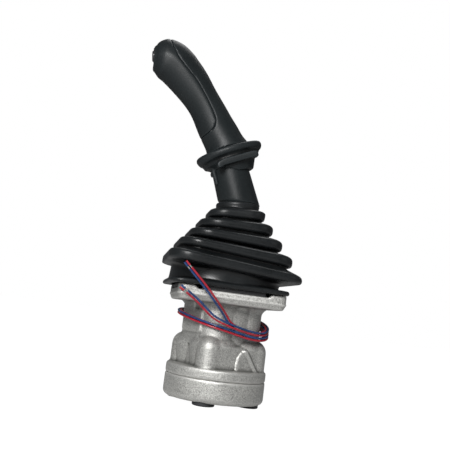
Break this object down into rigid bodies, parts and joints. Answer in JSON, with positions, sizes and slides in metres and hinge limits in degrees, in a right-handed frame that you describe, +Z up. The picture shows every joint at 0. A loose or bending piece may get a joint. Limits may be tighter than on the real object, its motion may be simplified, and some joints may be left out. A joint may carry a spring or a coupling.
{
  "type": "hydraulic pilot joystick valve",
  "caption": "Hydraulic pilot joystick: cast valve body with four plungers and swash disc under a square rubber bellows, and a bent black hand grip with a horn button",
  "frame": {"origin": "centre of the port block's lower face", "axes": "+Z up along the valve's axis, the grip bends towards -X, X and Y square to the mounting flange"},
  "size_m": [0.1655, 0.1266, 0.3423],
  "materials": {
    "casting": "sand-cast aluminium, shot-blasted",
    "plated_steel": "zinc-plated steel",
    "ground_steel": "hardened and ground steel",
    "spring_steel": "bright spring wire",
    "seat_steel": "pressed steel",
    "black_plate": "black-painted pressed steel",
    "bellows_rubber": "moulded black rubber, semi-gloss",
    "seal_rubber": "nitrile rubber",
    "bush_bronze": "sintered bronze",
    "grip_plastic": "moulded black plastic, fine satin grain",
    "bezel_plastic": "black plastic",
    "button_plastic": "black plastic",
    "cap_plastic": "black polyethylene cap",
    "red_insulation": "red PVC insulation",
    "blue_insulation": "blue PVC insulation",
    "tin": "tinned copper strands"
  },
  "bodies": {
    "valve": {"port_block": "casting", "block_seals": "seal_rubber", "block_screws": "plated_steel", "port_plugs": "cap_plastic", "casing": "casting", "mounting_flange": "casting", "rod_guides": "plated_steel", "guide_seals": "seal_rubber", "rod_wipers": "seal_rubber", "base_plate": "black_plate", "plate_screws": "plated_steel", "joint_base": "plated_steel", "lower_bushes": "bush_bronze", "boot": "bellows_rubber", "return_spring_1": "spring_steel", "return_spring_2": "spring_steel", "return_spring_3": "spring_steel", "return_spring_4": "spring_steel", "metering_spring_1": "spring_steel", "metering_spring_2": "spring_steel", "metering_spring_3": "spring_steel", "metering_spring_4": "spring_steel", "wire_grommet": "seal_rubber", "red_wire_1": "red_insulation", "blue_wire_1": "blue_insulation", "red_wire_2": "red_insulation", "blue_wire_2": "blue_insulation", "bare_strands": "tin", "red_slugs": "red_insulation", "blue_slugs": "blue_insulation"},
    "cross": {"joint_cross": "plated_steel"},
    "lever": {"upper_bushes": "bush_bronze", "upper_fork": "plated_steel", "swash_disc": "ground_steel", "adjusting_nut": "plated_steel", "lock_nut": "plated_steel", "lever_rod": "plated_steel", "sleeve": "grip_plastic", "collar": "grip_plastic", "grip_shell": "grip_plastic", "grip_cover": "grip_plastic", "button_guide": "bezel_plastic", "switch_body": "bezel_plastic", "button_spring": "spring_steel"},
    "button": {"horn_button": "button_plastic"},
    "plunger_1": {"push_rod_1": "ground_steel", "spring_seat_1": "seat_steel"},
    "spool_1": {"spool_1": "ground_steel"},
    "plunger_2": {"push_rod_2": "ground_steel", "spring_seat_2": "seat_steel"},
    "spool_2": {"spool_2": "ground_steel"},
    "plunger_3": {"push_rod_3": "ground_steel", "spring_seat_3": "seat_steel"},
    "spool_3": {"spool_3": "ground_steel"},
    "plunger_4": {"push_rod_4": "ground_steel", "spring_seat_4": "seat_steel"},
    "spool_4": {"spool_4": "ground_steel"}
  },
  "joints": [
    {"name": "cross_tilt", "type": "hinge", "parent": "valve", "child": "cross", "pos_m": [0, 0, 0.106], "axis": [-0.3746, -0.9272, 0], "range_deg": [-18, 18], "stiffness_Nm_per_rad": 4, "springref_deg": -1.15, "deforming": ["boot", "return_spring_2", "metering_spring_2", "return_spring_4", "metering_spring_4"]},
    {"name": "lever_tilt", "type": "hinge", "parent": "cross", "child": "lever", "pos_m": [0, 0, 0.106], "axis": [0.9272, -0.3746, 0], "range_deg": [-18, 18], "stiffness_Nm_per_rad": 4, "springref_deg": -0.46, "deforming": ["return_spring_1", "metering_spring_1", "return_spring_3", "metering_spring_3"]},
    {"name": "horn_press", "type": "slide", "parent": "lever", "child": "button", "axis": [0.9903, 0, 0.1392], "range_m": [0, 0.0015], "stiffness_N_per_m": 400, "deforming": ["button_spring"]},
    {"name": "rod_slide_1", "type": "slide", "parent": "valve", "child": "plunger_1", "axis": [0, 0, 1], "range_m": [-0.0066, 0.0066]},
    {"name": "spool_slide_1", "type": "slide", "parent": "valve", "child": "spool_1", "axis": [0, 0, 1], "range_m": [-0.0017, 0.0017]},
    {"name": "rod_slide_2", "type": "slide", "parent": "valve", "child": "plunger_2", "axis": [0, 0, 1], "range_m": [-0.0066, 0.0066]},
    {"name": "spool_slide_2", "type": "slide", "parent": "valve", "child": "spool_2", "axis": [0, 0, 1], "range_m": [-0.0017, 0.0017]},
    {"name": "rod_slide_3", "type": "slide", "parent": "valve", "child": "plunger_3", "axis": [0, 0, 1], "range_m": [-0.0066, 0.0066]},
    {"name": "spool_slide_3", "type": "slide", "parent": "valve", "child": "spool_3", "axis": [0, 0, 1], "range_m": [-0.0017, 0.0017]},
    {"name": "rod_slide_4", "type": "slide", "parent": "valve", "child": "plunger_4", "axis": [0, 0, 1], "range_m": [-0.0066, 0.0066]},
    {"name": "spool_slide_4", "type": "slide", "parent": "valve", "child": "spool_4", "axis": [0, 0, 1], "range_m": [-0.0017, 0.0017]}
  ],
  "couplings": [
    {"joint": "rod_slide_1", "follows": "lever_tilt", "m_per_rad": -0.021},
    {"joint": "spool_slide_1", "follows": "lever_tilt", "m_per_rad": -0.00525},
    {"joint": "rod_slide_2", "follows": "cross_tilt", "m_per_rad": 0.021},
    {"joint": "spool_slide_2", "follows": "cross_tilt", "m_per_rad": 0.00525},
    {"joint": "rod_slide_3", "follows": "lever_tilt", "m_per_rad": 0.021},
    {"joint": "spool_slide_3", "follows": "lever_tilt", "m_per_rad": 0.00525},
    {"joint": "rod_slide_4", "follows": "cross_tilt", "m_per_rad": -0.021},
    {"joint": "spool_slide_4", "follows": "cross_tilt", "m_per_rad": -0.00525}
  ]
}
